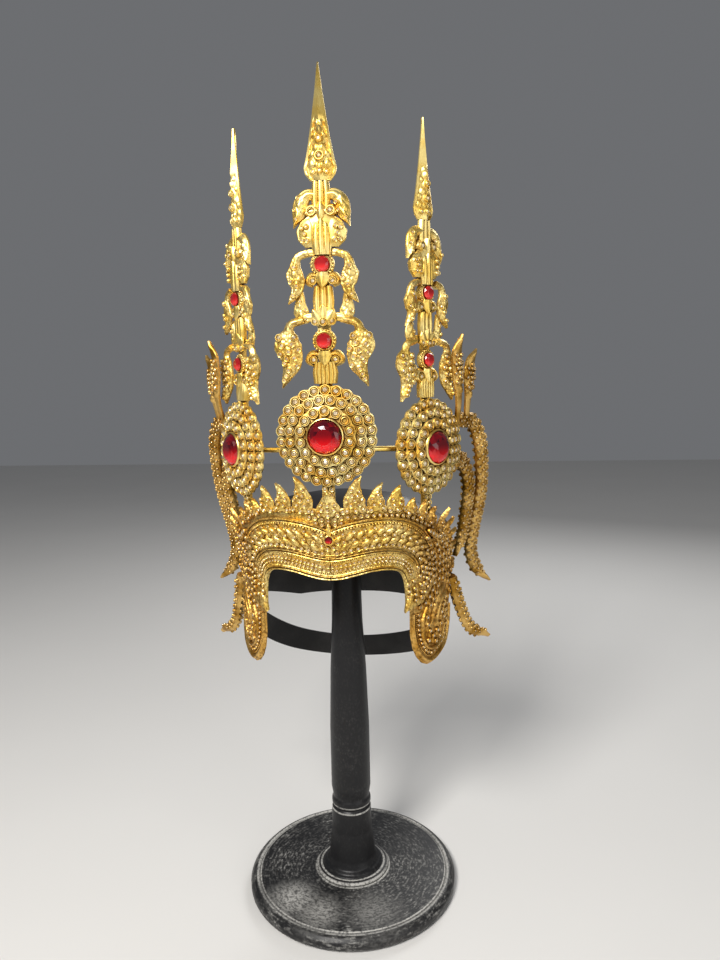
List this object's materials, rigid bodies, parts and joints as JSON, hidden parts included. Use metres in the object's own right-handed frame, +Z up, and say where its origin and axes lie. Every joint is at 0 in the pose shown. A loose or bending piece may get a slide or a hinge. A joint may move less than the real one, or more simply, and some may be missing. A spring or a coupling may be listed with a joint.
{
  "type": "thai dance headdress on a turned display stand",
  "caption": "Gilt Thai dance crown with a bowed brow band, flame-leaf crest, stone-set rosettes, tall winged spires and ear flaps, resting on a turned black stand.",
  "frame": {"origin": "centre of the stand's flat underside", "axes": "+Z up along the post, -Y the way the brow faces, +X to the right of a viewer who looks at the brow"},
  "size_m": [0.2996, 0.2307, 0.7835],
  "materials": {
    "gilt": "gilded metal, satin, darker in the hollows",
    "red_glass": "cut red glass, foil-backed, polished",
    "black_wood": "black paint on turned wood, whitish wear on the base",
    "black_leather": "matt black"
  },
  "bodies": {
    "root": {"stand_base": "black_wood", "stand_post": "black_wood", "stand_cap": "black_wood", "back_panel": "black_leather", "brow_band": "gilt", "brow_stone": "red_glass", "crest": "gilt", "ear_flap_right": "gilt", "ear_flap_left": "gilt", "cheek_tail_right": "gilt", "cheek_tail_left": "gilt", "stalk_outer_right": "gilt", "stalk_outer_left": "gilt", "stalk_inner_right": "gilt", "stalk_inner_left": "gilt", "rod_right": "gilt", "rod_left": "gilt", "centre_tier_back": "gilt", "centre_tier_middle": "gilt", "centre_tier_front": "gilt", "centre_gem": "red_glass", "centre_stem": "gilt", "centre_stone_low": "red_glass", "centre_stone_high": "red_glass", "centre_wing_low_r": "gilt", "centre_wing_low_l": "gilt", "centre_wing_mid_r": "gilt", "centre_wing_mid_l": "gilt", "centre_spearhead": "gilt", "right_tier_back": "gilt", "right_tier_middle": "gilt", "right_tier_front": "gilt", "right_gem": "red_glass", "right_stem": "gilt", "right_stone_low": "red_glass", "right_stone_high": "red_glass", "right_wing_low_r": "gilt", "right_wing_low_l": "gilt", "right_wing_mid_r": "gilt", "right_wing_mid_l": "gilt", "right_spearhead": "gilt", "left_tier_back": "gilt", "left_tier_middle": "gilt", "left_tier_front": "gilt", "left_gem": "red_glass", "left_stem": "gilt", "left_stone_low": "red_glass", "left_stone_high": "red_glass", "left_wing_low_r": "gilt", "left_wing_low_l": "gilt", "left_wing_mid_r": "gilt", "left_wing_mid_l": "gilt", "left_spearhead": "gilt", "nape_strap": "black_leather"}
  },
  "joints": []
}
